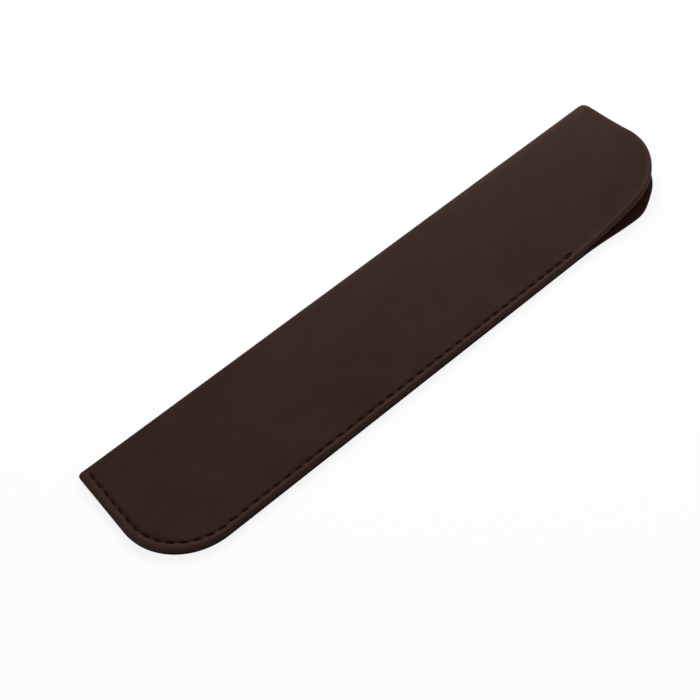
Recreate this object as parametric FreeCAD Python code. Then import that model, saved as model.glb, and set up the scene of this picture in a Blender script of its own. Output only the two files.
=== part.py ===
import FreeCAD
import Part
import math
import os

# Folded leather pen sleeve lying on its back, in millimetres.
# Along runs from the sewn short end to the mouth, across runs from the fold to the sewn long side.

# The leather blank once folded
sleeve_length = 160.0
sleeve_width = 36.0
leather_thickness = 1.1
corner_radius = 16.8

# The fold, almost pressed flat at the sewn end and swollen at the mouth
closed_inner_radius = 0.15
mouth_inner_radius = 2.6
mouth_fold_retreat = 1.6
spine_width = 7.5

# How far the mouth is cut back at the fold
mouth_slant = 0.7

# The flat margins where both layers are pressed together
side_margin = 3.4
end_margin = 4.2

# The dark paint over the cut edges
paint_thickness = 0.15

# The seam
stitch_pitch = 3.0
side_stitch_margin = 1.7
end_stitch_margin = 2.3
stitch_corner_radius = 15.0
seam_start_across = 1.8
seam_end_along = 122.5
groove_clearance = 0.12
lock_clearance = 0.05
thread_clearance = 0.02
thread_share = 0.36
thread_proud_share = 0.14
bend_share = 0.6

# The two free corners at the mouth, hinged on a slanting flex line
flex_start_along = 125.5
back_flex_shift = 3.0
flex_gap = 0.3
flex_line_rise = 0.1
front_lip_rest_angle = 18.0

# How far cutting shapes run past the leather
overrun = 5.0

# Sizes that follow from the ones above
seam_top = 2 * leather_thickness
mouth_top = 2 * (mouth_inner_radius + leather_thickness)
ramp_across = sleeve_width - side_margin
shoulder_across = sleeve_width - corner_radius
thread_radius = leather_thickness * thread_share / 2
bend_radius = 2 * thread_radius * bend_share
front_run_height = seam_top + leather_thickness * thread_proud_share - thread_radius
back_run_height = thread_radius + thread_clearance
groove_width = 2 * (thread_radius + groove_clearance)


def point(along, across, height):
    """A place on the sleeve, measured from the sewn end, the fold and the table."""
    return FreeCAD.Vector(along - sleeve_length / 2, sleeve_width / 2 - across, height)


def line(start, end):
    """A straight edge."""
    return Part.LineSegment(start, end).toShape()


def arc(start, middle, end):
    """A round edge through three places."""
    return Part.Arc(start, middle, end).toShape()


def prism(edges, low, high):
    """A closed plan outline drawn at height zero, raised between two heights."""
    solid = Part.Face(Part.Wire(edges)).extrude(FreeCAD.Vector(0, 0, high - low))
    solid.translate(FreeCAD.Vector(0, 0, low))
    return solid


def swell_share(along):
    """How far the fold has opened at this station, from none to all."""
    return max(0, along - end_margin) / (sleeve_length - end_margin)


def inner_radius(along):
    """Inside radius of the fold at this station."""
    return closed_inner_radius + swell_share(along) * (mouth_inner_radius - closed_inner_radius)


def fold_centre(along):
    """Across place of the middle of the fold."""
    return swell_share(along) * mouth_fold_retreat + inner_radius(along) + leather_thickness


def fold_lean(along):
    """Angle at which the front layer leaves the round of the fold."""
    outer = inner_radius(along) + leather_thickness
    run = ramp_across - fold_centre(along)
    rise = seam_top - outer
    return math.atan2(rise, run) + math.acos(outer / math.hypot(run, rise))


def front_height(along, across):
    """Height of the front face on its slope between the fold and the flat margin."""
    return seam_top + (ramp_across - across) / math.tan(fold_lean(along))


def round_place(along, radius, angle):
    """A place on a circle about the middle of the fold."""
    across = fold_centre(along) + radius * math.cos(angle)
    height = inner_radius(along) + leather_thickness + radius * math.sin(angle)
    return point(along, across, height)


def fold_arc(along, radius, start, end):
    """A round edge about the middle of the fold between two angles."""
    middle = round_place(along, radius, (start + end) / 2)
    return arc(round_place(along, radius, start), middle, round_place(along, radius, end))


def spine_section(along):
    """Cross section of the fold, a round strip open towards the pocket."""
    inner = inner_radius(along)
    outer = inner + leather_thickness
    lean = fold_lean(along)
    down = math.pi * 3 / 2
    top = front_height(along, spine_width)
    under = top - leather_thickness / math.sin(lean)
    edges = [line(point(along, spine_width, 0), round_place(along, outer, down))]
    edges.append(fold_arc(along, outer, down, math.pi))
    edges.append(fold_arc(along, outer, math.pi, lean))
    edges.append(line(round_place(along, outer, lean), point(along, spine_width, top)))
    edges.append(line(point(along, spine_width, top), point(along, spine_width, under)))
    edges.append(line(point(along, spine_width, under), round_place(along, inner, lean)))
    edges.append(fold_arc(along, inner, lean, math.pi))
    edges.append(fold_arc(along, inner, math.pi, down))
    edges.append(line(round_place(along, inner, down), point(along, spine_width, leather_thickness)))
    edges.append(line(point(along, spine_width, leather_thickness), point(along, spine_width, 0)))
    return Part.Wire(edges)


def front_section(along):
    """Cross section of the front layer, a slope that ends in the flat margin."""
    lean = fold_lean(along)
    top = front_height(along, spine_width)
    under = top - leather_thickness / math.sin(lean)
    meeting = ramp_across - leather_thickness * (1 / math.sin(lean) - 1) * math.tan(lean)
    corners = [point(along, spine_width, top)]
    corners.append(point(along, ramp_across, seam_top))
    corners.append(point(along, sleeve_width + overrun, seam_top))
    corners.append(point(along, sleeve_width + overrun, leather_thickness))
    corners.append(point(along, meeting, leather_thickness))
    corners.append(point(along, spine_width, under))
    return Part.makePolygon(corners + corners[:1])


def along_stations(section):
    """A solid through the sewn end, the end of its margin and the mouth."""
    wires = [section(along) for along in (0, end_margin, sleeve_length)]
    return Part.makeLoft(wires, True, True)


def mouth_along(across):
    """Along place of the mouth's slanting edge, between the fold and the rounded corner."""
    return sleeve_length - mouth_slant * (shoulder_across - across) / shoulder_across


def past_mouth():
    """Everything past the slanting edge of the mouth, as a tall block."""
    beside = -overrun
    beyond = sleeve_length + overrun
    corners = [point(mouth_along(beside), beside, 0)]
    corners.append(point(sleeve_length, shoulder_across, 0))
    corners.append(point(beyond, shoulder_across, 0))
    corners.append(point(beyond, beside, 0))
    edges = [line(start, end) for start, end in zip(corners, corners[1:] + corners[:1])]
    return prism(edges, -overrun, mouth_top + overrun)


def plan(inset):
    """The folded outline beside the spine, as a tall block, drawn in by an inset."""
    left = inset
    right = sleeve_length - inset
    edge = sleeve_width - inset
    mouth = mouth_along(spine_width) - inset
    slant = (corner_radius - inset) * math.cos(math.pi / 4)
    far = sleeve_length - corner_radius
    edges = [line(point(left, spine_width, 0), point(left, shoulder_across, 0))]
    near_middle = point(corner_radius - slant, shoulder_across + slant, 0)
    edges.append(arc(point(left, shoulder_across, 0), near_middle, point(corner_radius, edge, 0)))
    edges.append(line(point(corner_radius, edge, 0), point(far, edge, 0)))
    far_middle = point(far + slant, shoulder_across + slant, 0)
    edges.append(arc(point(far, edge, 0), far_middle, point(right, shoulder_across, 0)))
    edges.append(line(point(right, shoulder_across, 0), point(mouth, spine_width, 0)))
    edges.append(line(point(mouth, spine_width, 0), point(left, spine_width, 0)))
    return prism(edges, -overrun, mouth_top + overrun)


def flex_way():
    """Direction of the flex line in plan, from the mouth to the sewn side."""
    run = flex_start_along - sleeve_length
    reach = sleeve_width - spine_width
    return run / math.hypot(run, reach), reach / math.hypot(run, reach)


def beyond_flex(shift):
    """Everything past the flex line, moved towards the mouth corner by a shift."""
    step_along, step_across = flex_way()
    start_along = flex_start_along + step_across * shift
    start_across = sleeve_width - step_along * shift
    reach = sleeve_length + sleeve_width
    far = point(start_along + step_along * reach, start_across + step_across * reach, 0)
    near = point(start_along - step_along * reach, start_across - step_across * reach, 0)
    out = FreeCAD.Vector(step_across * reach, step_along * reach, 0)
    edges = [line(far, near)]
    edges.append(line(near, near + out))
    edges.append(line(near + out, far + out))
    edges.append(line(far + out, far))
    return prism(edges, -overrun, mouth_top + overrun)


def seam_band(end_inset, side_inset, radius, width, start, end, low, high):
    """A strip that follows the sewn edge round its corner."""
    turn_along = end_inset + radius
    turn_across = sleeve_width - side_inset - radius
    slant = math.cos(math.pi / 4)
    inner = radius - width
    outer_middle = point(turn_along - radius * slant, turn_across + radius * slant, 0)
    inner_middle = point(turn_along - inner * slant, turn_across + inner * slant, 0)
    outer_side = turn_across + radius
    inner_side = turn_across + inner
    inner_end = turn_along - inner
    edges = [line(point(end_inset, start, 0), point(end_inset, turn_across, 0))]
    edges.append(arc(point(end_inset, turn_across, 0), outer_middle, point(turn_along, outer_side, 0)))
    edges.append(line(point(turn_along, outer_side, 0), point(end, outer_side, 0)))
    edges.append(line(point(end, outer_side, 0), point(end, inner_side, 0)))
    edges.append(line(point(end, inner_side, 0), point(turn_along, inner_side, 0)))
    edges.append(arc(point(turn_along, inner_side, 0), inner_middle, point(inner_end, turn_across, 0)))
    edges.append(line(point(inner_end, turn_across, 0), point(inner_end, start, 0)))
    edges.append(line(point(inner_end, start, 0), point(end_inset, start, 0)))
    return prism(edges, low, high)


def seam_place(distance):
    """Along, across and heading of the seam at a distance from its start."""
    turn_along = end_stitch_margin + stitch_corner_radius
    turn_across = sleeve_width - side_stitch_margin - stitch_corner_radius
    first = turn_across - seam_start_across
    bend = stitch_corner_radius * math.pi / 2
    if distance < first:
        return end_stitch_margin, seam_start_across + distance, math.pi / 2
    if distance < first + bend:
        turn = (distance - first) / stitch_corner_radius
        along = turn_along - stitch_corner_radius * math.cos(turn)
        across = turn_across + stitch_corner_radius * math.sin(turn)
        return along, across, math.pi / 2 - turn
    return turn_along + distance - first - bend, turn_across + stitch_corner_radius, 0


def seam_holes():
    """Evenly spaced stitch holes from the fold to the end of the seam."""
    first = sleeve_width - side_stitch_margin - stitch_corner_radius - seam_start_across
    bend = stitch_corner_radius * math.pi / 2
    last = seam_end_along - end_stitch_margin - stitch_corner_radius
    total = first + bend + last
    count = round(total / stitch_pitch)
    return [seam_place(total * step / count) for step in range(count + 1)]


def hole_block(along, across, heading):
    """The slit that one turn of thread passes through."""
    length = 2 * (bend_radius + thread_radius + groove_clearance)
    block = Part.makeBox(length, groove_width, seam_top + 2 * overrun)
    block.translate(FreeCAD.Vector(-length / 2, -groove_width / 2, -overrun))
    block.rotate(FreeCAD.Vector(0, 0, 0), FreeCAD.Vector(0, 0, 1), -math.degrees(heading))
    block.translate(point(along, across, 0))
    return block


def stitch_room():
    """The sunk channels on both faces and the slits between them."""
    half = groove_width / 2
    rows = [end_stitch_margin - half, side_stitch_margin - half, stitch_corner_radius + half]
    length = bend_radius + thread_radius + groove_clearance
    ends = [seam_start_across - length, seam_end_along + length]
    front_floor = front_run_height - thread_radius - thread_clearance
    back_roof = back_run_height + thread_radius + thread_clearance
    room = [seam_band(*rows, groove_width, *ends, front_floor, seam_top + overrun)]
    room.append(seam_band(*rows, groove_width, *ends, -overrun, back_roof))
    return room + [hole_block(*hole) for hole in seam_holes()]


def lock_turn(place, heading, height, side):
    """The round turn of the thread inside one slit."""
    along, across = place
    step_along = bend_radius * math.cos(heading)
    step_across = bend_radius * math.sin(heading)
    down = point(along - step_along, across - step_across, height)
    low = point(along, across, height - side * bend_radius)
    up = point(along + step_along, across + step_across, height)
    return arc(down, low, up)


def shoulder_arc(leg, way, run_height, side):
    """The round shoulder where the thread leaves a slit and lies down along its run."""
    slant = math.cos(math.pi / 4)
    low = FreeCAD.Vector(leg.x, leg.y, run_height - side * bend_radius)
    aside = bend_radius * (1 - slant)
    middle = FreeCAD.Vector(leg.x, leg.y, run_height - side * aside) + way * aside
    high = FreeCAD.Vector(leg.x, leg.y, run_height) + way * bend_radius
    return low, middle, high


def stitch_edges(hole, after, run_height, turn_height, side):
    """One visible stitch, up from a slit, along the face and down into the next slit."""
    reach = bend_radius * math.cos(hole[2]), bend_radius * math.sin(hole[2])
    after_reach = bend_radius * math.cos(after[2]), bend_radius * math.sin(after[2])
    rise = point(hole[0] + reach[0], hole[1] + reach[1], turn_height)
    fall = point(after[0] - after_reach[0], after[1] - after_reach[1], turn_height)
    way = (fall - rise).normalize()
    low, middle, high = shoulder_arc(rise, way, run_height, side)
    end_low, end_middle, end_high = shoulder_arc(fall, way * -1, run_height, side)
    edges = [line(rise, low), arc(low, middle, high), line(high, end_high)]
    return edges + [arc(end_high, end_middle, end_low), line(end_low, fall)]


def thread(run_height, turn_height, side):
    """One unbroken thread of the seam, side being up or down."""
    holes = seam_holes()
    edges = []
    for hole, after in zip(holes, holes[1:]):
        edges.extend(stitch_edges(hole, after, run_height, turn_height, side))
        if after is not holes[-1]:
            edges.append(lock_turn(after[:2], after[2], turn_height, side))
    path = Part.Wire(edges)
    start = edges[0].valueAt(edges[0].FirstParameter)
    ring = Part.Wire(Part.makeCircle(thread_radius, start, FreeCAD.Vector(0, 0, 1)))
    return path.makePipeShell([ring], True, False)


def needle_thread():
    """The thread seen on the front face."""
    turn_height = leather_thickness + lock_clearance + thread_radius + bend_radius
    return thread(front_run_height, turn_height, 1)


def bobbin_thread():
    """The thread sunk in the back face."""
    turn_height = leather_thickness - lock_clearance - thread_radius - bend_radius
    return thread(back_run_height, turn_height, -1)


def folded_spine(room):
    """The strip of the blank that turns round the fold."""
    return along_stations(spine_section).cut(past_mouth()).cut(room)


def front_panel(room):
    """The front of the sleeve up to the flex line."""
    sheet = along_stations(front_section).common(plan(paint_thickness))
    return sheet.cut(beyond_flex(-flex_gap / 2)).cut(room)


def back_panel(room):
    """The back of the sleeve up to the flex line, flat on the table."""
    return back_sheet(paint_thickness).cut(beyond_flex(back_flex_shift - flex_gap / 2)).cut(room)


def back_sheet(inset):
    """The flat back layer."""
    reach = sleeve_length + sleeve_width
    slab = Part.makeBox(2 * reach, 2 * reach, leather_thickness)
    slab.translate(FreeCAD.Vector(-reach, -reach, 0))
    return slab.common(plan(inset))


def raise_front(shape):
    """Turn a front piece up about the flex line to its natural curl."""
    mouth = point(sleeve_length, spine_width, front_height(sleeve_length, spine_width) + flex_line_rise)
    side = point(flex_start_along, sleeve_width, seam_top + flex_line_rise)
    shape.rotate(mouth, side - mouth, front_lip_rest_angle)
    return shape


def front_lip():
    """The free front corner past the flex line."""
    sheet = along_stations(front_section).common(plan(paint_thickness))
    return raise_front(sheet.common(beyond_flex(flex_gap / 2)))


def front_lip_edge_paint():
    """The painted edge of the free front corner."""
    sheet = along_stations(front_section).common(plan(0)).common(beyond_flex(flex_gap / 2))
    return raise_front(sheet.cut(plan(paint_thickness)))


def back_lip():
    """The free back corner past the flex line."""
    return back_sheet(paint_thickness).common(beyond_flex(back_flex_shift + flex_gap / 2))


def back_lip_edge_paint():
    """The painted edge of the free back corner."""
    sheet = back_sheet(0).common(beyond_flex(back_flex_shift + flex_gap / 2))
    return sheet.cut(plan(paint_thickness))


def seam_edge_paint():
    """The painted edge that closes both sewn layers."""
    end = flex_start_along - flex_gap
    return seam_band(0, 0, corner_radius, paint_thickness, spine_width, end, 0, seam_top)


def main():
    os.makedirs("parts", exist_ok=True)
    room = stitch_room()
    pieces = {
        "folded_spine": folded_spine(room),
        "front_panel": front_panel(room),
        "back_panel": back_panel(room),
        "front_lip": front_lip(),
        "back_lip": back_lip(),
        "needle_thread": needle_thread(),
        "bobbin_thread": bobbin_thread(),
        "seam_edge_paint": seam_edge_paint(),
        "front_lip_edge_paint": front_lip_edge_paint(),
        "back_lip_edge_paint": back_lip_edge_paint(),
    }
    for name, shape in pieces.items():
        print(name, shape.ShapeType, len(shape.Solids), round(shape.Volume, 2), shape.isValid())
        shape.exportStep("parts/" + name + ".step")


main()
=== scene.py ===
import math

import bpy
import numpy as np
from bpy.props import FloatProperty, FloatVectorProperty, IntProperty, PointerProperty
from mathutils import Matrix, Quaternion, Vector


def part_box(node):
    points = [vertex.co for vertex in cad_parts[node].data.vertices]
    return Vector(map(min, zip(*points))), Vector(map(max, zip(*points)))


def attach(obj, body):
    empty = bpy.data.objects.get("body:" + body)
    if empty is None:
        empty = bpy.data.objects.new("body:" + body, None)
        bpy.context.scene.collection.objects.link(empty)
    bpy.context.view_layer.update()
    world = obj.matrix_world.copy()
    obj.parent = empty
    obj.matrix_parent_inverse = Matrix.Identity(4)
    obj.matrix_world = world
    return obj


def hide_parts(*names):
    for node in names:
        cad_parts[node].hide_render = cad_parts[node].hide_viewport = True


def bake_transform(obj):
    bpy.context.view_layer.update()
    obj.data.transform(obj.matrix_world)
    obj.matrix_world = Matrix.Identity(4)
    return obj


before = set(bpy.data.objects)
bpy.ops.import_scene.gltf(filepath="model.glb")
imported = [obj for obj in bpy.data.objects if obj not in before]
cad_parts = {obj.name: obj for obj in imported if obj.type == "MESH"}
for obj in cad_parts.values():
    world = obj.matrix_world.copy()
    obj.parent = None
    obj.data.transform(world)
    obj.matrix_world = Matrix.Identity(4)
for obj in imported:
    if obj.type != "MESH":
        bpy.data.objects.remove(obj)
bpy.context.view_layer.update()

bl_info = {
    "name": "Pen Sleeve",
    "version": (1, 0, 0),
    "blender": (4, 5, 0),
    "location": "3D View > Sidebar > Sleeve",
    "description": "Dresses a folded leather sleeve for one pen: leather, seam, edges and studio",
    "category": "Object",
}

SPINE_LOW, SPINE_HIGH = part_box("folded_spine")
BACK_LOW, BACK_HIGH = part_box("back_panel")
SEWN_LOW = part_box("seam_edge_paint")[0]
LIP_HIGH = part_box("back_lip_edge_paint")[1]
MM = 0.001
UP = np.array([0.0, 0.0, 1.0])
DOWN_ANGLE = 1.5 * math.pi

# Leather: share left at a cut edge, and waves as strength, lengths along and across in mm, and phase
CUT_EDGE_SHARE = 0.35
RIPPLES = ((1.0, 9.1, 13.0, 0.6), (0.7, 5.3, -7.7, 2.1), (0.5, 3.7, 4.3, 4.0))
RIPPLE_FADE_MARGINS = 3

# Painted highlight near the fold, which grows towards the mouth, and lighter rims along the cut edges, partly
# wear and partly painted highlight, which grow narrower there
FOLD_LIGHT_POWER = 1.5
FOLD_LIGHT_FADE = 1.2
RIM_LOSS = 0.55
RIM_LOSS_POWER = 3
RIM_PLACE_SHARE = 0.6
RIM_LEAST = 0.55
RIM_GAIN = 0.35
# Painted highlight on the upper side of each painted edge; the back lip's edge gets only a small share of the
# lighter colour and stays dark
UPPER_PAINT_HIGHLIGHT = 0.7
BACK_PAINT_WEAR_AND_HIGHLIGHT = 0.15

# Seam: sharpness of the pull at a hole, and place of the ridge in groove widths
HOLE_POWER = 4
RIDGE_PLACE = 2.0

# Stitches: depths and places as shares of the thread's radius or, for the double stitch, of the pitch
STITCH_STEPS = 17
THREAD_SIDES = 12
ARCH_POWER = 4
TWIST_HALF_TURNS = 2.2
PLY_BULGE_SHARE = 0.10
THREAD_END_SHARE = 0.80
SINK_SHARE = 2.6
SEAT_SHARE = 0.10
TACK_START_SHARE = 0.75
TACK_END_SHARE = 0.15
TACK_ASIDE_SHARE = 0.9
# Least painted shade on the double stitch
TACK_DARK = 0.65

# Rows and columns of the leather
END_ROW_STEP = 0.26 * MM
BODY_ROWS = 262
RIM_ROWS = np.array([0.7, 0.4, 0.2, 0.1, 0.0]) * MM
UNDER_COLUMNS = 6
FOLD_COLUMNS = 22
FRONT_COLUMNS, FRONT_FINE_SHARE = 66, 0.13
BACK_COLUMNS, BACK_FINE_SHARE = 60, 0.15

# Painted edges: stations, overlap of the lips with the sewn edge, and section
EDGE_STEP = 0.6 * MM
EDGE_START = 0.9 * MM
LIP_OVERLAP = 2 * MM
NORMAL_STEP = 0.2 * MM
CORNER_STEPS = 44
FOLD_STEPS = 24
UNDER_STEPS = 6
PAINT_TURNS = np.radians([-80, -62, -42, -20, 0, 20, 42, 62, 80])
PAINT_LAP = 1.4
PAINT_TUCK = 0.4

# Finishes: common ranges, and the colour sockets of a mix
WHOLE = (0, 1)
NOISE_SPAN = (0.3, 0.7)
PAINT_SPAN = (0.5, 0.8)
FIBRE_LIGHT = 1.5
MIX_FIRST, MIX_SECOND, MIX_RESULT = 6, 7, 2

# Studio
FLOOR_HALF = 4.0
FLOOR_GLOW = 0.86
FLOOR_ROUGHNESS = 0.9
KEY_PLACE, KEY_SIZE = (0.22, 0.26, 0.40), 0.36
FILL_PLACE, FILL_SIZE = (0.30, -0.45, 0.50), 0.60
SENSOR_WIDTH = 36.0
CLIP_START = 0.01


# Sizes and colours that a user would change

def length_prop(name, description, default):
    """A length in metres."""
    return FloatProperty(name=name, description=description, default=default, unit="LENGTH", precision=5)


def colour_prop(name, description, default):
    """A linear colour."""
    return FloatVectorProperty(
        name=name, description=description, default=default, size=3, subtype="COLOR", min=0, max=1
    )


def place_prop(name, description, default):
    """A place in metres."""
    return FloatVectorProperty(name=name, description=description, default=default, subtype="TRANSLATION")


def level_prop(name, description, default):
    """A power or a strength."""
    return FloatProperty(name=name, description=description, default=default, min=0)


class SleeveShape(bpy.types.PropertyGroup):
    """Sizes of the folded leather, most of them read from the solids."""

    length: length_prop("Length", "Sewn end to mouth", LIP_HIGH.x - SPINE_LOW.x)
    width: length_prop("Width", "Fold to sewn side", SPINE_HIGH.y - SEWN_LOW.y)
    thickness: length_prop("Leather", "Thickness of one layer", BACK_HIGH.z - BACK_LOW.z)
    spine_width: length_prop("Spine", "Strip that turns round the fold", SPINE_HIGH.y - SPINE_LOW.y)
    mouth_radius: length_prop("Mouth fold", "Outside radius of the fold at the mouth", SPINE_HIGH.z / 2)
    closed_radius: length_prop("Closed fold", "Outside radius of the fold at the sewn end", 1.25 * MM)
    fold_retreat: length_prop("Retreat", "How far the swollen fold draws in at the mouth", 1.6 * MM)
    mouth_slant: length_prop("Mouth slant", "How far the mouth is cut back at the fold", 0.7 * MM)
    side_margin: length_prop("Side margin", "Flat strip along the sewn side", 3.4 * MM)
    end_margin: length_prop("End margin", "Flat strip across the sewn end", 4.2 * MM)
    corner_radius: length_prop("Corners", "Radius of the rounded corners", 16.8 * MM)
    flex_start: length_prop("Flex start", "Where the flex line meets the sewn side", 125.5 * MM)
    back_flex_shift: length_prop("Back flex", "How much nearer to its corner the back bends", 3.0 * MM)
    back_flare: length_prop("Back flare", "How far the back lip spreads past the front one", 1.1 * MM)
    curl_lead: length_prop("Curl lead", "Where the curl begins before the flex line", 6.0 * MM)
    curl_radius: length_prop("Curl radius", "Bend radius of the front lip at rest", 45.0 * MM)
    edge_inset: length_prop("Edge inset", "Leather under the edge paint", 0.12 * MM)
    edge_radius: length_prop("Edge radius", "Rounding of the leather at its cut edges", 0.80 * MM)
    fold_end_radius: length_prop("Fold end", "Rounding of the fold at the sewn end", 1.2 * MM)
    paint_reach: length_prop("Paint reach", "How far the paint laps over the leather", 0.45 * MM)
    paint_drop: length_prop("Paint drop", "How far the paint stays below the faces", 0.05 * MM)
    lip_bead_drop: length_prop("Lip bead", "How far the front lip's paint hangs below it", 0.40 * MM)
    # Lip lead: where the edge paint begins to turn lighter, partly wear and partly painted highlight, and
    # where the front lip's paint begins to hang
    lip_lead: length_prop("Lip wear", "Where the paint begins to wear before the flex line", 8.0 * MM)
    # Rim reach: width of the lighter band along the cut edges, partly wear and partly painted highlight
    rim_wear_and_light_reach: length_prop("Wear reach", "How far in from the cut edges the leather is rubbed", 1.40 * MM)
    ripple: length_prop("Ripple", "Height of the slow waves in the leather", 0.10 * MM)


class SleeveSeam(bpy.types.PropertyGroup):
    """Sizes of the lock stitch."""

    pitch: length_prop("Pitch", "Distance between stitch holes", 3.0 * MM)
    side_margin: length_prop("Side margin", "Seam to the long edge", 1.7 * MM)
    end_margin: length_prop("End margin", "Seam to the short edge", 2.3 * MM)
    corner_radius: length_prop("Corner", "Radius of the seam round the corner", 15.0 * MM)
    start: length_prop("Start", "First hole, measured from the fold", 1.8 * MM)
    end: length_prop("End", "Last hole, measured from the sewn end", 122.5 * MM)
    thread_radius: length_prop("Thread", "Radius of the thread", 0.33 * MM)
    stitch_gap: length_prop("Stitch gap", "Leather between the end of a stitch and its hole", 0.40 * MM)
    stitch_slant: length_prop("Stitch slant", "How far a stitch leans over its length", 0.26 * MM)
    groove_depth: length_prop("Groove", "How far the seam pulls the leather in", 0.13 * MM)
    groove_width: length_prop("Groove width", "Half width of the pulled line", 0.52 * MM)
    hole_depth: length_prop("Hole depth", "Extra pull at each hole", 0.06 * MM)
    ridge_height: length_prop("Ridge", "Swelling between the seam and the edge", 0.15 * MM)
    ply_count: IntProperty(name="Plies", description="Strands twisted into the thread", default=3, min=2)


class SleeveColours(bpy.types.PropertyGroup):
    """Colours of the leather, its paint and its thread."""

    leather: colour_prop("Leather", "Main colour of the grain side", (0.0252, 0.0118, 0.0080))
    # Leather light serves the random light patches, and also the lighter rims and fold, which are partly
    # painted highlight
    leather_light: colour_prop("Leather light", "Rubbed patches", (0.0462, 0.0234, 0.0171))
    leather_dark: colour_prop("Leather dark", "Deep patches and the seam line", (0.0128, 0.0054, 0.0037))
    flesh: colour_prop("Flesh side", "Inside of the pocket", (0.0520, 0.0170, 0.0110))
    # The dark paint is partly painted shade on the sewn edge and lower sides; the lighter paint is a painted
    # highlight on the lips and upper sides, partly wear
    paint: colour_prop("Edge paint", "Painted sewn edge", (0.0168, 0.0078, 0.0056))
    worn_and_lit_paint: colour_prop("Worn paint", "Painted edges, rubbed by use", (0.0420, 0.0170, 0.0130))
    thread: colour_prop("Thread", "Waxed thread", (0.0105, 0.0035, 0.0018))
    # Hole: the painted shade on the thread's ends and along the seam line
    hole: colour_prop("Hole", "Thread and leather in the shade of a stitch hole", (0.0050, 0.0020, 0.0013))
    floor: colour_prop("Floor", "Floor and background", (0.94, 0.94, 0.94))


class SleeveStudio(bpy.types.PropertyGroup):
    """Camera and lamps."""

    lens: FloatProperty(
        name="Lens", description="Focal length on a 36 mm sensor", default=57.79, unit="CAMERA"
    )
    camera: place_prop("Camera", "Place of the camera", (-0.09374, -0.13987, 0.20978))
    aim: place_prop("Aim", "Point in the middle of the picture", (-0.01411, 0.00020, 0.00220))
    roll: FloatProperty(
        name="Roll", description="Turn of the camera about its view", default=-0.2249, unit="ROTATION"
    )
    key_power: level_prop("Key", "Power of the large lamp over the fold", 2.6)
    fill_power: level_prop("Fill", "Power of the lamp over the sewn side", 0.5)
    sky: level_prop("Sky", "Strength of the even light", 0.30)


# The form of the folded leather, worked out from those sizes

def eased(share):
    """A share from none to all that starts and ends gently."""
    share = np.clip(share, 0, 1)
    return share**2 * (3 - 2 * share)


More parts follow.
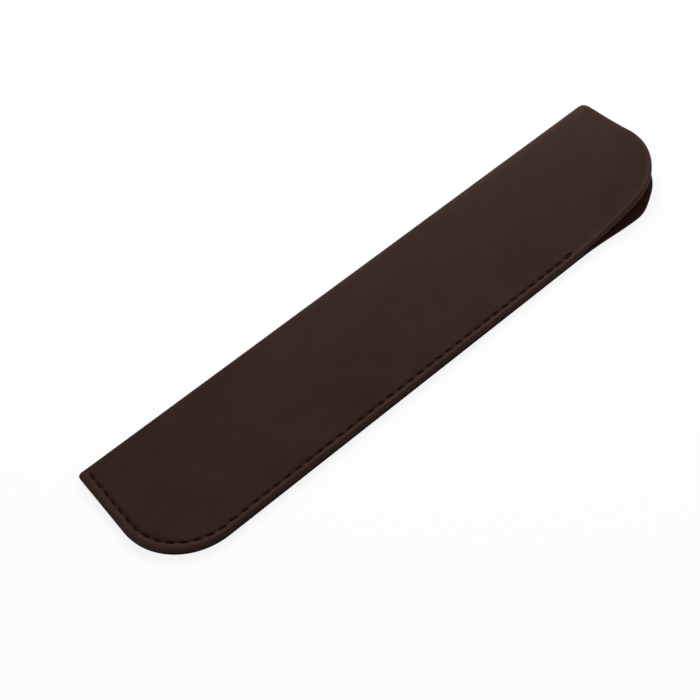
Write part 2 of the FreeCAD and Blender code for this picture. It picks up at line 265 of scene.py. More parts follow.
class Form:
    """Answers where the leather lies, for arrays of along and across."""

    def __init__(self, settings):
        self.shape = settings.shape
        self.seam = settings.seam
        self.thickness = settings.shape.thickness
        self.ramp_across = settings.shape.width - settings.shape.side_margin
        self.shoulder = settings.shape.width - settings.shape.corner_radius
        seam = settings.seam
        self.turn_along = seam.end_margin + seam.corner_radius
        self.turn_across = settings.shape.width - seam.side_margin - seam.corner_radius
        self.first_run = self.turn_across - seam.start
        self.turn_run = seam.corner_radius * math.pi / 2

    def place(self, along, across, height):
        """Points in the shared frame, drawn back towards the slanting mouth."""
        across = np.asarray(across)
        slant = np.clip(1 - across / self.shoulder, 0, 1) * self.shape.mouth_slant
        x = along * (1 - slant / self.shape.length) - self.shape.length / 2
        y = self.shape.width / 2 - across
        return np.stack(np.broadcast_arrays(x, y, height), axis=-1)

    def swell(self, along):
        """Share of the fold's opening, none at the sewn end and full at the mouth."""
        reach = self.shape.length - self.shape.end_margin
        return np.clip((np.asarray(along) - self.shape.end_margin) / reach, 0, 1)

    def fold(self, along):
        """Outside radius, across place of the middle, and leaving angle of the fold."""
        share = self.swell(along)
        outer = self.shape.closed_radius + share * (self.shape.mouth_radius - self.shape.closed_radius)
        end = self.shape.fold_end_radius
        short = np.maximum(0, end - np.asarray(along))
        middle = share * self.shape.fold_retreat + outer + end - np.sqrt(end**2 - np.minimum(short, end) ** 2)
        run = self.ramp_across - middle
        rise = 2 * self.thickness - outer
        return outer, middle, np.arctan2(rise, run) + np.arccos(outer / np.hypot(run, rise))

    def outline(self, along, inset):
        """Across place of the cut edge."""
        radius = self.shape.corner_radius
        near = np.maximum(0, radius - np.asarray(along))
        far = np.maximum(0, np.asarray(along) - (self.shape.length - radius))
        bend = np.sqrt(np.maximum(0, (radius - inset) ** 2 - np.maximum(near, far) ** 2))
        return self.shoulder + bend

    def edge_distance(self, along, across):
        """Plan distance from the cut edge of the leather."""
        radius = self.shape.corner_radius
        to_end = np.minimum(along, self.shape.length - along)
        to_side = self.shape.width - across
        short_end = np.maximum(0, radius - to_end)
        short_side = np.maximum(0, radius - to_side)
        in_corner = (short_end > 0) & (short_side > 0)
        straight = np.minimum(to_end, to_side)
        return np.where(in_corner, radius - np.hypot(short_end, short_side), straight) - self.shape.edge_inset

    def flare(self, along, across):
        """How far the back lip spreads, most where its side meets the corner."""
        shape = self.shape
        far = shape.length - shape.corner_radius
        rise = eased((along - shape.flex_start) / (far - shape.flex_start))
        fall = eased(1 - (along - far) / (shape.corner_radius / 2))
        aside = eased((across - shape.spine_width) / (shape.width - shape.spine_width))
        return shape.back_flare * rise * fall * aside

    def layer_half(self, along, across):
        """Half the thickness of the leather, thinning in a round at its cut edges."""
        share = np.clip(self.edge_distance(along, across) / self.shape.edge_radius, 0, 1)
        return self.thickness / 2 * (CUT_EDGE_SHARE + (1 - CUT_EDGE_SHARE) * np.sqrt(1 - (1 - share) ** 2))

    def beyond_flex(self, along, across):
        """Plan distance past the flex line, towards the mouth corner."""
        way_along, way_across = self.flex_way()
        past = np.asarray(along) - self.shape.flex_start
        return past * way_along + (across - self.shape.width) * way_across

    def flex_way(self):
        """Plan direction square to the flex line."""
        run = self.shape.length - self.shape.flex_start
        reach = self.shape.width - self.shape.spine_width
        size = math.hypot(run, reach)
        return reach / size, run / size

    def curl(self, along, across):
        """Lift of the front lip and how far its bend draws it in."""
        past = np.maximum(0, self.beyond_flex(along, across) + self.shape.curl_lead)
        return past**2 / (2 * self.shape.curl_radius), past**3 / (6 * self.shape.curl_radius**2)

    def ripples(self, along, across):
        """Slow waves of soft leather, fading out at the cut edges."""
        a, c = np.asarray(along) / MM, np.asarray(across) / MM
        wave = sum(strength * np.sin(a / far + c / wide + phase) for strength, far, wide, phase in RIPPLES)
        fade = RIPPLE_FADE_MARGINS * self.shape.side_margin
        rest = np.clip((self.shape.width - np.asarray(across)) / fade, 0, 1)
        return self.shape.ripple / sum(strength for strength, *_ in RIPPLES) * wave * rest

    def front_middle(self, along, across):
        """Height of the middle of the front layer away from the fold, without its curl."""
        lean = self.fold(along)[2]
        soft = self.shape.side_margin / 2
        step = self.ramp_across - np.asarray(across)
        ramp = (step + np.sqrt(step**2 + soft**2)) / 2
        return 2 * self.thickness - self.thickness / 2 + ramp / np.tan(lean)

    def front_top(self, along, across):
        """Height of the grain side of the curled front layer, without its ripples."""
        return self.front_middle(along, across) + self.curl(along, across)[0] + self.thickness / 2

    def front_point(self, along, across):
        """Middle of the front layer with its curl and ripples."""
        lift, draw = self.curl(along, across)
        way_along, way_across = self.flex_way()
        height = self.front_middle(along, across) + lift + self.ripples(along, across)
        return self.place(along - draw * way_along, across - draw * way_across, height)

    def seam_measure(self, along, across):
        """Distance inward from the seam line, and distance run along it."""
        seam = self.seam
        angle = np.arctan2(across - self.turn_across, self.turn_along - along)
        radius = np.hypot(along - self.turn_along, across - self.turn_across)
        on_end = (across < self.turn_across) & (along < self.turn_along)
        on_side = along >= self.turn_along
        off = np.where(on_end, along - seam.end_margin, seam.corner_radius - radius)
        off = np.where(on_side, self.shape.width - seam.side_margin - across, off)
        run = np.where(on_end, across - seam.start, self.first_run + seam.corner_radius * angle)
        run = np.where(on_side, self.first_run + self.turn_run + along - self.turn_along, run)
        return off, run

    def seam_length(self):
        """Whole run of the seam and the pitch that divides it evenly."""
        seam = self.seam
        total = self.first_run + self.turn_run + (seam.end - seam.end_margin - seam.corner_radius)
        return total, total / round(total / seam.pitch)

    def seam_place(self, run):
        """Along, across and heading of the seam at a distance from its start."""
        radius = self.seam.corner_radius
        past = run - self.first_run
        turn = np.clip(past / radius, 0, math.pi / 2)
        along = self.turn_along - radius * math.cos(turn) + max(0, past - self.turn_run)
        across = self.turn_across + radius * math.sin(turn) + min(0, past)
        return along, across, math.pi / 2 - turn

    def seam_line(self, along, across):
        """Share of the seam's pull, full on its line and gone beside it."""
        off, run = self.seam_measure(along, across)
        total, pitch = self.seam_length()
        fade = np.clip((run + pitch / 2) / pitch, 0, 1) * np.clip((total + pitch / 2 - run) / pitch, 0, 1)
        return fade * np.exp(-((off / self.seam.groove_width) ** 2))

    def wear_and_highlight(self, along, across):
        """Share of lighter colour: a painted highlight towards the mouth near the fold, and along the cut
        edges partly wear and partly painted highlight.
        """
        shape = self.shape
        far = np.asarray(along) / shape.length
        # Painted highlight that grows towards the mouth near the fold
        fold_light = far**FOLD_LIGHT_POWER * np.clip(1 - FOLD_LIGHT_FADE * np.asarray(across) / shape.width, 0, 1)
        # Lighter rims along the cut edges, partly wear and partly painted highlight
        reach = RIM_PLACE_SHARE * shape.rim_wear_and_light_reach * (1 - RIM_LOSS * far**RIM_LOSS_POWER)
        edge = (self.edge_distance(along, across) - reach) / reach
        rim = RIM_LEAST + RIM_GAIN * np.asarray(across) / shape.width
        return np.clip(fold_light + rim * np.exp(-(edge**2)), 0, 1)

    def seam_dip(self, along, across):
        """How far the stitches pull the face of the leather in, less the ridge beside them."""
        off, run = self.seam_measure(along, across)
        pitch = self.seam_length()[1]
        hole = np.cos(math.pi * run / pitch) ** HOLE_POWER
        pull = self.seam_line(along, across) * (self.seam.groove_depth + self.seam.hole_depth * hole)
        beside = (off + RIDGE_PLACE * self.seam.groove_width) / self.seam.groove_width
        return pull - self.seam.ridge_height * np.exp(-(beside**2))


# Mesh helpers

def grid_normals(points):
    """Unit normals of a grid of points."""
    along = np.gradient(points, axis=0)
    across = np.gradient(points, axis=1)
    normals = np.cross(along, across)
    return normals / np.linalg.norm(normals, axis=2, keepdims=True)


def upright(path):
    """The upward direction, once for each point of a path."""
    return np.tile(UP, (len(path), 1))


def grid_index(rows, columns):
    """Numbers of the points of a grid."""
    return np.arange(rows * columns).reshape(rows, columns)


def grid_quads(index):
    """Faces between the neighbours of a grid of point numbers."""
    corners = [index[:-1, :-1], index[1:, :-1], index[1:, 1:], index[:-1, 1:]]
    return np.stack(corners, axis=-1).reshape(-1, 4)


def border_loop(index):
    """Point numbers round a grid, once, in the order that its faces turn."""
    parts = [index[:-1, 0], index[-1, :-1], index[:0:-1, -1], index[0, :0:-1]]
    return np.concatenate(parts)


def new_piece(name, points, faces, materials, material_index=None):
    """A mesh object in the scene, smooth but for its end faces of many corners."""
    mesh = bpy.data.meshes.new(name)
    mesh.from_pydata(np.reshape(points, (-1, 3)).tolist(), [], [list(face) for face in faces])
    mesh.validate()
    for material in materials:
        mesh.materials.append(material)
    if material_index is not None:
        mesh.polygons.foreach_set("material_index", np.asarray(material_index, dtype=np.int32))
    mesh.polygons.foreach_set("use_smooth", [len(polygon.vertices) <= 4 for polygon in mesh.polygons])
    mesh.update()
    piece = bpy.data.objects.new(name, mesh)
    bpy.context.scene.collection.objects.link(piece)
    return piece


def leather_shell(name, outside, inside, materials):
    """A closed sheet of leather from its two faces, grain side first."""
    index = grid_index(*outside.shape[:2])
    count = index.size
    grain = grid_quads(index)
    flesh = grid_quads(index + count)[:, ::-1]
    loop = border_loop(index)
    ahead = np.roll(loop, -1)
    rim = np.stack([ahead, loop, loop + count, ahead + count], axis=-1)
    faces = np.concatenate([grain, flesh, rim])
    kinds = np.repeat([0, 1, 2], [len(grain), len(flesh), len(rim)])
    points = np.concatenate([outside.reshape(-1, 3), inside.reshape(-1, 3)])
    piece = new_piece(name, points, faces, materials, kinds)
    crease(piece, np.concatenate([loop, loop + count]), np.concatenate([ahead, ahead + count]))
    return piece


def crease(piece, starts, ends):
    """Keep the shading apart on both sides of some edges."""
    mesh = piece.data
    size = len(mesh.vertices)
    pairs = np.empty(2 * len(mesh.edges), dtype=np.int32)
    mesh.edges.foreach_get("vertices", pairs)
    pairs = np.sort(pairs.reshape(-1, 2).astype(np.int64), axis=1)
    wanted = np.sort(np.stack([starts, ends], axis=-1).astype(np.int64), axis=1)
    sharp = np.isin(pairs[:, 0] * size + pairs[:, 1], wanted[:, 0] * size + wanted[:, 1])
    mesh.attributes.new("sharp_edge", "BOOLEAN", "EDGE").data.foreach_set("value", sharp)


def mark(piece, name, values):
    """Note a value on each point of a piece, for its finish."""
    piece.data.attributes.new(name, "FLOAT", "POINT").data.foreach_set("value", np.ravel(values))


def mark_shell(piece, name, values):
    """Note a value on the grain side of a shell."""
    mark(piece, name, np.stack([values, 0 * values]))


def swept_tube(path, sides, ups, profile):
    """Rings of a profile along a path, each ring in its own frame."""
    rings = path[:, None, :] + profile[..., :1] * sides[:, None, :] + profile[..., 1:] * ups[:, None, :]
    index = grid_index(*rings.shape[:2])
    quads = grid_quads(np.concatenate([index, index[:, :1]], axis=1))
    ends = [index[0].tolist(), index[-1, ::-1].tolist()]
    return rings.reshape(-1, 3), quads.tolist() + ends


def path_frames(path, ups):
    """Outward sides and clean ups along a path."""
    ahead = np.gradient(path, axis=0)
    ahead /= np.linalg.norm(ahead, axis=1, keepdims=True)
    sides = np.cross(ahead, ups)
    sides /= np.linalg.norm(sides, axis=1, keepdims=True)
    return sides, np.cross(sides, ahead)


# Stations of the leather grid

def along_stations(form):
    """Rows of the grid, close together where the end seam and the ends are."""
    shape = form.shape
    low = shape.edge_inset
    high = shape.length - shape.edge_inset
    fine = np.arange(low, shape.end_margin, END_ROW_STEP)
    body = np.linspace(shape.end_margin, high - MM, BODY_ROWS)
    return np.concatenate([fine, body, high - RIM_ROWS])


def across_shares(count, fine_share):
    """Column places from the fold to the edge, closer near the sewn edge."""
    fine = count // 3
    body = np.linspace(0, 1 - fine_share, count - fine)
    edge = np.linspace(1 - fine_share, 1, fine + 1)
    return np.concatenate([body[:-1], edge])


def front_grid(form):
    """Middle of the leather from the sewn edge over the front, round the fold and under it.

    The last grid tells the sides apart: one on the front, less round the fold, below zero underneath.
    """
    along = along_stations(form)[:, None]
    outer, middle, lean = form.fold(along)
    half = form.thickness / 2
    radius = outer - half
    under_share = np.linspace(0, 1, UNDER_COLUMNS)[None, :-1]
    under_across = form.shape.spine_width + under_share * (middle - form.shape.spine_width)
    under = form.place(along, under_across, np.full_like(under_across, half))
    turn = np.linspace(0, 1, FOLD_COLUMNS)[None, :]
    angle = DOWN_ANGLE + turn * (lean - DOWN_ANGLE)
    round_across = middle + radius * np.cos(angle)
    round_height = outer + radius * np.sin(angle)
    rising = np.clip((angle - math.pi) / (lean - math.pi), 0, 1) ** 2
    lift = form.curl(along, round_across)[0] * rising
    wave = form.ripples(along, round_across) * rising
    bend = form.place(along + 0 * round_across, round_across, round_height + lift + wave)
    front_start = middle + radius * np.cos(lean)
    shares = across_shares(FRONT_COLUMNS, FRONT_FINE_SHARE)[None, 1:]
    front_across = front_start + shares * (form.outline(along, form.shape.edge_inset) - front_start)
    front = form.front_point(along + 0 * front_across, front_across)
    points = np.concatenate([under, bend, front], axis=1)
    across = np.concatenate([under_across, round_across, front_across], axis=1)
    side = np.concatenate([0 * under_across - 1, rising, 0 * front_across + 1], axis=1)
    return [grid[:, ::-1] for grid in (points, along + 0 * across, across, side)]


def back_grid(form):
    """Middle of the flat back layer beside the spine."""
    along = along_stations(form)[:, None]
    start = form.shape.spine_width
    shares = across_shares(BACK_COLUMNS, BACK_FINE_SHARE)[None, :]
    across = start + shares * (form.outline(along, form.shape.edge_inset) - start)
    along = along + 0 * across
    height = np.full_like(across, form.thickness / 2)
    return form.place(along, across + form.flare(along, across), height), along, across


# Finishes

def feed(tree, node, inputs):
    """Set the inputs of a node, colours as three numbers, or link them where the value is a socket."""
    for name, value in inputs.items():
        socket = node.inputs[name]
        if isinstance(value, bpy.types.NodeSocket):
            tree.links.new(value, socket)
        else:
            socket.default_value = (*value, 1) if socket.type == "RGBA" else value


def add_node(tree, kind, inputs, output, **options):
    """Add a node with its options and inputs, and give one of its outputs."""
    node = tree.nodes.new("ShaderNode" + kind)
    for name, value in options.items():
        setattr(node, name, value)
    feed(tree, node, inputs)
    return node.outputs[output]


class Finish:
    """A node material and short ways to add to it."""

    def __init__(self, name):
        self.material = bpy.data.materials.new(name)
        self.material.use_nodes = True
        self.tree = self.material.node_tree
        self.coordinates = add_node(self.tree, "TexCoord", {}, "Object")

    def noise(self, scale, detail, roughness=0.5, stretch=(1, 1, 1)):
        """A soft noise, its scale counted per metre, uneven where asked."""
        vector = add_node(self.tree, "Mapping", {"Vector": self.coordinates, "Scale": stretch}, "Vector")
        inputs = {"Vector": vector, "Scale": scale, "Detail": detail, "Roughness": roughness}
        return add_node(self.tree, "TexNoise", inputs, "Fac")

    def cells(self, scale):
        """Distance to the edges of small cells, for grain."""
        inputs = {"Vector": self.coordinates, "Scale": scale}
        return add_node(self.tree, "TexVoronoi", inputs, "Distance", feature="DISTANCE_TO_EDGE")

    def attribute(self, name):
        """A value noted on the points of the mesh."""
        return add_node(self.tree, "Attribute", {}, "Fac", attribute_name=name)

    def spread(self, value, source, target):
        """A value moved from one range to another."""
        ends = zip(("From Min", "From Max", "To Min", "To Max"), (*source, *target))
        return add_node(self.tree, "MapRange", {"Value": value, **dict(ends)}, "Result")

    def mixed(self, share, first, second):
        """A colour between two, each a colour or a socket."""
        inputs = {"Factor": share, MIX_FIRST: first, MIX_SECOND: second}
        return add_node(self.tree, "Mix", inputs, MIX_RESULT, data_type="RGBA")

    def added(self, first, second, weight):
        """First plus second times a weight."""
        inputs = {0: second, 1: weight, 2: first}
        return add_node(self.tree, "Math", inputs, "Value", operation="MULTIPLY_ADD")

    def bump(self, height, strength, distance):
        """Raise the surface by a height."""
        inputs = {"Height": height, "Strength": strength, "Distance": distance}
        self.set("Normal", add_node(self.tree, "Bump", inputs, "Normal"))

    def set(self, socket, value):
        """Set a shader input, or feed it from a node."""
        feed(self.tree, self.tree.nodes["Principled BSDF"], {socket: value})


def grain_finish(colours):
    """Smooth matt brown leather with soft blotches, lighter rims and fold that are partly wear and partly
    painted highlight, a fine pore and a painted shade along the seam line.
    """
    finish = Finish("brown_leather")
    cloud = finish.noise(scale=62, detail=3, roughness=0.55)
    mottle = finish.noise(scale=420, detail=4, roughness=0.6)
    share = finish.spread(finish.added(cloud, mottle, weight=0.35), (0.50, 1.00), (0, 0.45))
    streaks = finish.noise(scale=130, detail=2, stretch=(1.0, 1.6, 1.0))
    deep = finish.spread(streaks, (0.45, 0.75), (0, 0.25))
    base = finish.mixed(share, colours.leather, colours.leather_light)
    base = finish.mixed(deep, base, colours.leather_dark)
    # Lighter where the mark says: painted highlight near the fold's mouth end, and along the rims partly wear
    # and partly painted highlight
    wear_and_highlight = finish.added(finish.attribute("wear_and_highlight"), mottle, weight=0.20)
    worn_and_lit = finish.spread(wear_and_highlight, (0.10, 1.10), WHOLE)
    base = finish.mixed(worn_and_lit, base, colours.leather_light)
    # Painted shade along the seam line, mixed towards the hole's shade colour
    seam_shade = finish.spread(finish.attribute("seam_line"), (0.2, 1.0), (0, 0.42))
    finish.set("Base Color", finish.mixed(seam_shade, base, colours.hole))
    finish.set("Roughness", finish.spread(mottle, NOISE_SPAN, (0.60, 0.74)))
    finish.set("Specular IOR Level", 0.045)
    pores = finish.spread(finish.cells(scale=1500), (0.0, 0.16), WHOLE)
    grain = finish.added(pores, finish.noise(scale=3200, detail=3), weight=0.6)
    finish.bump(grain, strength=0.22, distance=0.08 * MM)
    return finish.material


def flesh_finish(colours):
    """Dull reddish brown suede inside the pocket."""
    finish = Finish("flesh_side")
    nap = finish.noise(scale=2600, detail=5, roughness=0.7)
    blotched = finish.added(nap, finish.noise(scale=90, detail=3), weight=0.5)
    share = finish.spread(blotched, (0.5, 1.0), WHOLE)
    finish.set("Base Color", finish.mixed(share, colours.leather_dark, colours.flesh))
    finish.set("Roughness", finish.spread(nap, NOISE_SPAN, (0.82, 0.95)))
    finish.set("Specular IOR Level", 0.1)
    finish.bump(nap, strength=0.4, distance=0.12 * MM)
    return finish.material


def paint_finish(colours):
    """Dull edge paint, dark, partly as painted shade low on the sewn edge, and a lighter reddish brown on the
    lips and on its upper side, a painted highlight there that is partly wear on the lips.
    """
    finish = Finish("dull_edge_paint")
    rub = finish.noise(scale=240, detail=4, roughness=0.6)
    patches = finish.spread(rub, PAINT_SPAN, (0, 0.7))
    # Dark paint, partly painted shade low on the edges; lighter paint, a painted highlight on the upper sides
    # and lips, partly wear
    dark = finish.mixed(patches, colours.paint, colours.leather_dark)
    worn_and_lit = finish.mixed(patches, colours.worn_and_lit_paint, colours.leather)
    finish.set("Base Color", finish.mixed(finish.attribute("wear_and_highlight"), dark, worn_and_lit))
    finish.set("Roughness", finish.spread(rub, NOISE_SPAN, (0.55, 0.72)))
    finish.set("Specular IOR Level", 0.06)
    finish.bump(finish.noise(scale=1800, detail=3), strength=0.25, distance=0.08 * MM)
    return finish.material


def thread_finish(colours):
    """Waxed thread with fine fibres, darkened where it dives into its holes: painted shade of the hole,
    partly wax and dirt.
    """
    finish = Finish("waxed_thread")
    fibre = finish.noise(scale=5200, detail=3, roughness=0.6)
    share = finish.spread(fibre, (0.35, 0.7), WHOLE)
    lighter = [FIBRE_LIGHT * value for value in colours.thread]
    lit = finish.mixed(share, colours.thread, lighter)
    # Painted shade of the hole on the thread's ends, partly wax and dirt
    sunk = finish.spread(finish.attribute("sunk"), (0.52, 0.72), WHOLE)
    finish.set("Base Color", finish.mixed(sunk, lit, colours.hole))
    finish.set("Roughness", finish.spread(fibre, NOISE_SPAN, (0.65, 0.8)))
    finish.set("Specular IOR Level", 0.02)
    finish.bump(fibre, strength=0.4, distance=0.06 * MM)
    return finish.material


def finish_named(name, make, colours):
    """A finish shared by the pieces, made once."""
    return bpy.data.materials.get(name) or make(colours)


def leather_finishes(colours):
    """Grain side, flesh side and cut edge."""
    return [
        finish_named("brown_leather", grain_finish, colours),
        finish_named("flesh_side", flesh_finish, colours),
        finish_named("dull_edge_paint", paint_finish, colours),
    ]


def flex_span(form, start, end):
    """Two points square across the flex line, at distances past it."""
    way_along, way_across = form.flex_way()
    shape = form.shape
    return [
        tuple(form.place(shape.flex_start + way_along * far, shape.width + way_across * far, shape.thickness))
        for far in (start, end)
    ]


def lip_reach(form):
    """How far the rounded corner lies past the flex line."""
    shape = form.shape
    centre = form.beyond_flex(shape.length - shape.corner_radius, form.shoulder)
    return float(centre + shape.corner_radius)


def bend_with_front(piece, form):
    """Bake a piece's transform; the front lip's flex span is worked out but not kept."""
    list(flex_span(form, 0.0, lip_reach(form)))
    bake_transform(piece)


def bend_with_back(piece, form):
    """Bake a piece's transform; the back lip's flex span is worked out but not kept."""
    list(flex_span(form, form.shape.back_flex_shift, lip_reach(form)))
    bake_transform(piece)


# The pieces

class PENSLEEVE_OT_front_leather(bpy.types.Operator):
    """Make the front leather, its fold and the curled front lip"""

    bl_idname = "pen_sleeve.front_leather"
    bl_label = "Front Leather"

    def execute(self, context):
        settings = context.scene.pen_sleeve
        form = Form(settings)
        points, along, across, side = front_grid(form)
        normals = grid_normals(points)
        half = form.layer_half(along, across)
        dip = form.seam_dip(along, across)
        dip = np.where(side < 0, np.maximum(0, dip), dip * side)
        outside = points + normals * (half - dip)[..., None]
        inside = points - normals * half[..., None]
        piece = leather_shell("front_leather", outside, inside, leather_finishes(settings.colours))
        mark_shell(piece, "seam_line", form.seam_line(along, across) * np.abs(side))
        mark_shell(piece, "wear_and_highlight", form.wear_and_highlight(along, across))
        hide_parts("front_panel", "folded_spine", "front_lip")
        bend_with_front(piece, form)
        return {"FINISHED"}


class PENSLEEVE_OT_back_leather(bpy.types.Operator):
    """Make the flat back leather and its lip"""

    bl_idname = "pen_sleeve.back_leather"
    bl_label = "Back Leather"

    def execute(self, context):
        settings = context.scene.pen_sleeve
        form = Form(settings)
        points, along, across = back_grid(form)
        half = form.layer_half(along, across)
        dip = np.maximum(0, form.seam_dip(along, across))
        outside = points - UP * (half - dip)[..., None]
        inside = points + UP * half[..., None]
        piece = leather_shell("back_leather", outside, inside, leather_finishes(settings.colours))
        mark_shell(piece, "seam_line", form.seam_line(along, across))
        mark_shell(piece, "wear_and_highlight", form.wear_and_highlight(along, across))
        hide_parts("back_panel", "back_lip")
        bend_with_back(piece, form)
        return {"FINISHED"}


def strand(form, start, end, height_at, sink, aside):
    """Points, faces and depths of one stitch, diving into the leather at both ends."""
    steps = np.linspace(0, 1, STITCH_STEPS)
    places = [form.seam_place(start + step * (end - start)) for step in steps]
    beside = aside + (steps - 0.5) * form.seam.stitch_slant
    along = np.array([place[0] - math.sin(place[2]) * off for place, off in zip(places, beside)])
    across = np.array([place[1] + math.cos(place[2]) * off for place, off in zip(places, beside)])
    sunk = np.abs(2 * steps - 1)
    arch = 1 - sunk**ARCH_POWER
    path = form.place(along, across, height_at(along, across) + (arch - 1) * sink)
    sides, ups = path_frames(path, upright(path))
    angles = np.linspace(0, 2 * math.pi, THREAD_SIDES, endpoint=False)[None, :]
    twist = steps[:, None] * TWIST_HALF_TURNS * math.pi
    swell = 1 + PLY_BULGE_SHARE * np.cos(form.seam.ply_count * (angles - twist))
    taper = THREAD_END_SHARE + (1 - THREAD_END_SHARE) * np.sqrt(arch)[:, None]
    rings = form.seam.thread_radius * swell * taper
    profile = np.stack([rings * np.cos(angles), rings * np.sin(angles)], axis=-1)
    return (*swept_tube(path, sides, ups, profile), np.repeat(sunk, THREAD_SIDES))


def stitch_row(name, form, height_at, sink, materials, extra=()):
    """All the stitches of one face as a single piece, each with its ends, its shift and its least shade."""
    total, pitch = form.seam_length()
    gap = form.seam.stitch_gap
    runs = [(step * pitch + gap, (step + 1) * pitch - gap, 0.0, 0.0) for step in range(round(total / pitch))]
    points, faces, depths, first = [], [], [], 0
    for start, end, aside, least in [*runs, *extra]:
        made, quads, sunk = strand(form, start, end, height_at, sink, aside)
        points.append(made)
        depths.append(np.maximum(sunk, least))
        faces.extend([[corner + first for corner in quad] for quad in quads])
        first += len(made)
    piece = new_piece(name, np.concatenate(points), faces, materials)
    mark(piece, "sunk", np.concatenate(depths))
    return piece


class PENSLEEVE_OT_stitches(bpy.types.Operator):
    """Make the stitches seen on the front and on the back"""

    bl_idname = "pen_sleeve.stitches"
    bl_label = "Stitches"

    def execute(self, context):
        settings = context.scene.pen_sleeve
        form = Form(settings)
        materials = [finish_named("waxed_thread", thread_finish, settings.colours)]
        total, pitch = form.seam_length()
        radius = form.seam.thread_radius
        sink = SINK_SHARE * radius

        def on_front(along, across):
            return form.front_top(along, across) - form.seam.groove_depth - SEAT_SHARE * radius

        def on_back(along, across):
            return radius + 0 * along

        ends = total - TACK_START_SHARE * pitch, total + TACK_END_SHARE * pitch
        # The double stitch is darkened along most of its length with the same painted shade
        tack = [(*ends, -TACK_ASIDE_SHARE * radius, TACK_DARK)]
        needle = stitch_row("needle_stitches", form, on_front, sink, materials, tack)
        bobbin = stitch_row("bobbin_stitches", form, on_back, -sink, materials)
        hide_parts("needle_thread")
        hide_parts("bobbin_thread")
        for piece in (needle, bobbin):
            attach(piece, "sleeve")
        return {"FINISHED"}


def edge_profile(half, reach, layers):
    """Section of a painted edge at each station: one round for each layer of leather."""
    outs = reach * (np.cos(PAINT_TURNS) - 1)
    each = half[:, None] / layers
    rounds = []
    for layer in range(layers):
        middle = (2 * layer + 1 - layers) * each
        heights = middle + each * np.sin(PAINT_TURNS)
        rounds.append(np.stack(np.broadcast_arrays(outs, heights), axis=-1))
    inner = 0 * each - PAINT_LAP * reach
    tuck = half[:, None] - PAINT_TUCK * each
    low = np.stack([inner, -tuck], axis=-1)
    high = np.stack([inner, tuck], axis=-1)
    return np.concatenate([low, *rounds, high], axis=1)


def bead(name, path, ups, half, form, layers, materials, wear_and_highlight_share=1.0):
    """A painted edge swept along the cut edge, with its share of wear and painted highlight."""
    sides, clean = path_frames(path, ups)
    profile = edge_profile(half, form.shape.paint_reach, layers)
    points, faces = swept_tube(path, sides, clean, profile)
    piece = new_piece(name, points, faces, materials)
    lead = form.shape.lip_lead
    start = form.shape.flex_start - form.shape.length / 2 - lead
    # Lighter towards the lips, partly wear and partly painted highlight, and on the upper side as painted
    # highlight
    worn_and_lit = np.clip((path[:, :1] - start) / (2 * lead), 0, 1)
    upper = np.clip(profile[..., 1] / half[:, None], 0, 1)
    mark(piece, "wear_and_highlight", wear_and_highlight_share * np.maximum(worn_and_lit, UPPER_PAINT_HIGHLIGHT * upper))
    return piece


def corner_run(form, centre_along, start, end):
    """Along and across of a round corner."""
    angles = np.linspace(start, end, CORNER_STEPS)
    radius = form.shape.corner_radius
    return centre_along + radius * np.cos(angles), form.shoulder + radius * np.sin(angles)


def sewn_edge(form):
    """Plan of the sewn edge, from the fold to the start of the lips."""
    shape = form.shape
    end_across = np.arange(EDGE_START, form.shoulder, EDGE_STEP)
    turn = corner_run(form, shape.corner_radius, math.pi, math.pi / 2)
    side_along = np.arange(shape.corner_radius + EDGE_STEP, shape.flex_start, EDGE_STEP)
    along = np.concatenate([0 * end_across, turn[0], side_along])
    across = np.concatenate([end_across, turn[1], 0 * side_along + shape.width])
    return along, across


def lip_edge(form):
    """Plan of a free edge, from the end of the seam round the corner to the spine."""
    shape = form.shape
    far = shape.length - shape.corner_radius
    side_along = np.arange(shape.flex_start - LIP_OVERLAP, far, EDGE_STEP)
    turn = corner_run(form, far, math.pi / 2, 0)
    mouth_across = np.arange(form.shoulder - EDGE_STEP, shape.spine_width, -EDGE_STEP)
    mouth_across = np.append(mouth_across, shape.spine_width)
    along = np.concatenate([side_along, turn[0], 0 * mouth_across + shape.length])
    across = np.concatenate([0 * side_along + shape.width, turn[1], mouth_across])
    return along, across


def surface_ups(form, along, across):
    """Normals of the front layer at plan places."""
    step = NORMAL_STEP
    ahead = form.front_point(along + step, across) - form.front_point(along - step, across)
    aside = form.front_point(along, across - step) - form.front_point(along, across + step)
    ups = np.cross(ahead, aside)
    return ups / np.linalg.norm(ups, axis=1, keepdims=True)


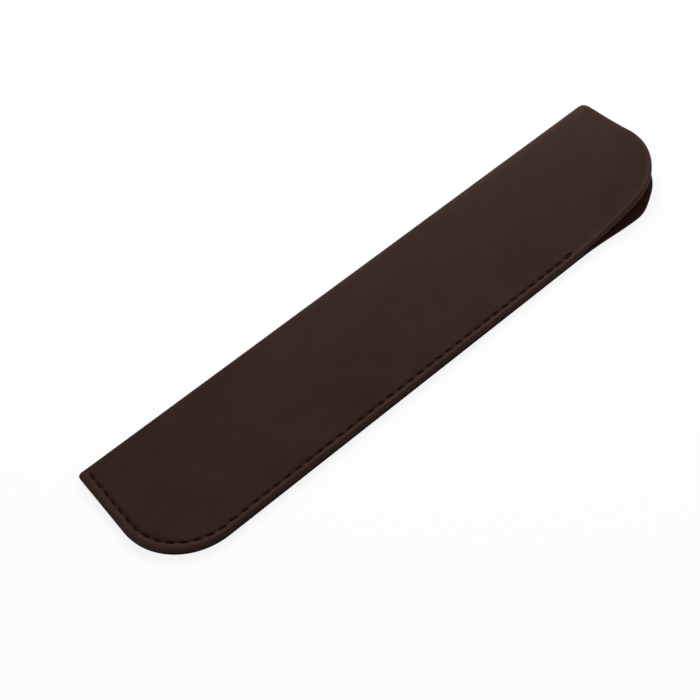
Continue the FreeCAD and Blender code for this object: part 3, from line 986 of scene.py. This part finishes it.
class PENSLEEVE_OT_painted_edges(bpy.types.Operator):
    """Make the painted edges of the seam and of both lips"""

    bl_idname = "pen_sleeve.painted_edges"
    bl_label = "Painted Edges"

    def execute(self, context):
        settings = context.scene.pen_sleeve
        form = Form(settings)
        paint = [finish_named("dull_edge_paint", paint_finish, settings.colours)]
        self.sewn(form, paint)
        self.front(form, paint)
        self.back(form, paint)
        return {"FINISHED"}

    def sewn(self, form, materials):
        """One bead that closes both layers."""
        along, across = sewn_edge(form)
        top = form.front_top(along, across)
        path = form.place(along, across, top / 2)
        half = top / 2 - form.shape.paint_drop
        piece = bead("sewn_edge", path, upright(path), half, form, 2, materials)
        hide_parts("seam_edge_paint")
        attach(piece, "sleeve")

    def front(self, form, materials):
        """The bead of the front lip, which runs on round the fold at the mouth."""
        shape = form.shape
        along, across = lip_edge(form)
        ups = surface_ups(form, along, across)
        hang = np.clip(form.beyond_flex(along, across) / shape.lip_lead, 0, 1) * shape.lip_bead_drop
        path = form.front_point(along, across) - ups * hang[:, None] / 2
        outer, middle, lean = (float(value) for value in form.fold(shape.length))
        angles = np.linspace(lean, DOWN_ANGLE, FOLD_STEPS)
        radius = outer - form.thickness / 2
        bend_across = middle + radius * np.cos(angles)
        bend = form.place(shape.length, bend_across, outer + radius * np.sin(angles))
        bend_ups = np.stack([0 * angles, -np.cos(angles), np.sin(angles)], axis=-1)
        under_across = np.linspace(middle, shape.spine_width, UNDER_STEPS)[1:]
        under = form.place(shape.length, under_across, form.thickness / 2)
        keep = across > bend_across[0] + EDGE_STEP
        path = np.concatenate([path[keep], bend, under])
        ups = np.concatenate([ups[keep], bend_ups, -upright(under)])
        half = np.full(len(path), form.thickness / 2 - shape.paint_drop)
        half[: keep.sum()] += hang[keep] / 2
        piece = bead("front_lip_edge", path, ups, half, form, 1, materials)
        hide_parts("front_lip_edge_paint")
        bend_with_front(piece, form)

    def back(self, form, materials):
        """The bead of the back lip."""
        along, across = lip_edge(form)
        path = form.place(along, across + form.flare(along, across), form.thickness / 2)
        half = np.full(len(path), form.thickness / 2 - form.shape.paint_drop)
        piece = bead("back_lip_edge", path, upright(path), half, form, 1, materials, BACK_PAINT_WEAR_AND_HIGHLIGHT)
        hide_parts("back_lip_edge_paint")
        bend_with_back(piece, form)


class PENSLEEVE_OT_stage(bpy.types.Operator):
    """Make the floor, the lamps and the camera"""

    bl_idname = "pen_sleeve.stage"
    bl_label = "Studio"

    def execute(self, context):
        settings = context.scene.pen_sleeve
        context.scene.view_settings.view_transform = "Standard"
        self.floor(settings.colours.floor)
        self.sky(context.scene, settings.studio.sky)
        self.lamp("key_lamp", settings.studio.key_power, KEY_PLACE, KEY_SIZE)
        self.lamp("fill_lamp", settings.studio.fill_power, FILL_PLACE, FILL_SIZE)
        self.camera(context.scene, settings.studio)
        return {"FINISHED"}

    def floor(self, colour):
        """A pale floor that shows white and keeps a soft shadow."""
        half = FLOOR_HALF
        corners = [(-half, -half, 0), (half, -half, 0), (half, half, 0), (-half, half, 0)]
        material = bpy.data.materials.new("pale_floor")
        material.use_nodes = True
        tree = material.node_tree
        plain = tree.nodes["Principled BSDF"]
        feed(tree, plain, {"Base Color": colour, "Roughness": FLOOR_ROUGHNESS})
        white = add_node(tree, "Emission", {}, "Emission")
        share = add_node(tree, "Math", {0: self.in_sight(tree), 1: FLOOR_GLOW}, "Value", operation="MULTIPLY")
        mix = add_node(tree, "MixShader", {"Fac": share, 1: plain.outputs["BSDF"], 2: white}, "Shader")
        feed(tree, tree.nodes["Material Output"], {"Surface": mix})
        floor = new_piece("pale_floor", corners, [(0, 1, 2, 3)], [material])

    def in_sight(self, tree):
        """One for rays that show the surface to the eye, straight, in a gloss or through glass."""
        path = tree.nodes.new("ShaderNodeLightPath").outputs
        seen = path["Is Camera Ray"]
        for way in ("Is Glossy Ray", "Is Transmission Ray"):
            seen = add_node(tree, "Math", {0: seen, 1: path[way]}, "Value", operation="MAXIMUM")
        return seen

    def sky(self, scene, strength):
        """Even light, seen as white."""
        world = bpy.data.worlds.new("studio_sky")
        world.use_nodes = True
        tree = world.node_tree
        level = add_node(tree, "MapRange", {"Value": self.in_sight(tree), "To Min": strength}, "Result")
        feed(tree, tree.nodes["Background"], {"Color": (1, 1, 1), "Strength": level})
        scene.world = world

    def lamp(self, name, power, place, size):
        """A square soft lamp aimed at the sleeve."""
        data = bpy.data.lights.new(name, "AREA")
        data.energy = power
        data.size = size
        lamp = bpy.data.objects.new(name, data)
        lamp.location = place
        lamp.rotation_mode = "QUATERNION"
        lamp.rotation_quaternion = (-Vector(place)).to_track_quat("-Z", "Y")
        bpy.context.scene.collection.objects.link(lamp)

    def camera(self, scene, studio):
        """The camera at the photograph's viewing angle."""
        data = bpy.data.cameras.new("photo_camera")
        data.sensor_width = SENSOR_WIDTH
        data.lens = studio.lens
        data.clip_start = CLIP_START
        camera = bpy.data.objects.new("photo_camera", data)
        camera.location = studio.camera
        view = Vector(studio.aim) - Vector(studio.camera)
        camera.rotation_mode = "QUATERNION"
        turn = Quaternion((0, 0, 1), studio.roll)
        camera.rotation_quaternion = view.to_track_quat("-Z", "Y") @ turn
        scene.collection.objects.link(camera)
        scene.camera = camera


class SleeveSettings(bpy.types.PropertyGroup):
    """Everything that the sleeve's operators read."""

    shape: PointerProperty(type=SleeveShape)
    seam: PointerProperty(type=SleeveSeam)
    colours: PointerProperty(type=SleeveColours)
    studio: PointerProperty(type=SleeveStudio)


PIECES = (
    PENSLEEVE_OT_front_leather,
    PENSLEEVE_OT_back_leather,
    PENSLEEVE_OT_stitches,
    PENSLEEVE_OT_painted_edges,
    PENSLEEVE_OT_stage,
)


class PENSLEEVE_PT_sleeve(bpy.types.Panel):
    """Lists the sleeve's settings and pieces"""

    bl_idname = "PENSLEEVE_PT_sleeve"
    bl_label = "Pen Sleeve"
    bl_space_type = "VIEW_3D"
    bl_region_type = "UI"
    bl_category = "Sleeve"

    def draw(self, context):
        settings = context.scene.pen_sleeve
        for group in (settings.shape, settings.seam, settings.colours, settings.studio):
            box = self.layout.box()
            for name in group.__annotations__:
                box.prop(group, name)
        for operator in PIECES:
            self.layout.operator(operator.bl_idname)


CLASSES = (
    SleeveShape,
    SleeveSeam,
    SleeveColours,
    SleeveStudio,
    SleeveSettings,
    *PIECES,
    PENSLEEVE_PT_sleeve,
)


def register():
    """Add the classes and the scene's settings."""
    for made in CLASSES:
        bpy.utils.register_class(made)
    bpy.types.Scene.pen_sleeve = PointerProperty(type=SleeveSettings)


def unregister():
    """Take them away again."""
    del bpy.types.Scene.pen_sleeve
    for made in reversed(CLASSES):
        bpy.utils.unregister_class(made)


def main():
    """Build the sleeve and its studio."""
    register()
    bpy.ops.pen_sleeve.front_leather()
    bpy.ops.pen_sleeve.back_leather()
    bpy.ops.pen_sleeve.stitches()
    bpy.ops.pen_sleeve.painted_edges()
    bpy.ops.pen_sleeve.stage()


if __name__ == "__main__":
    main()
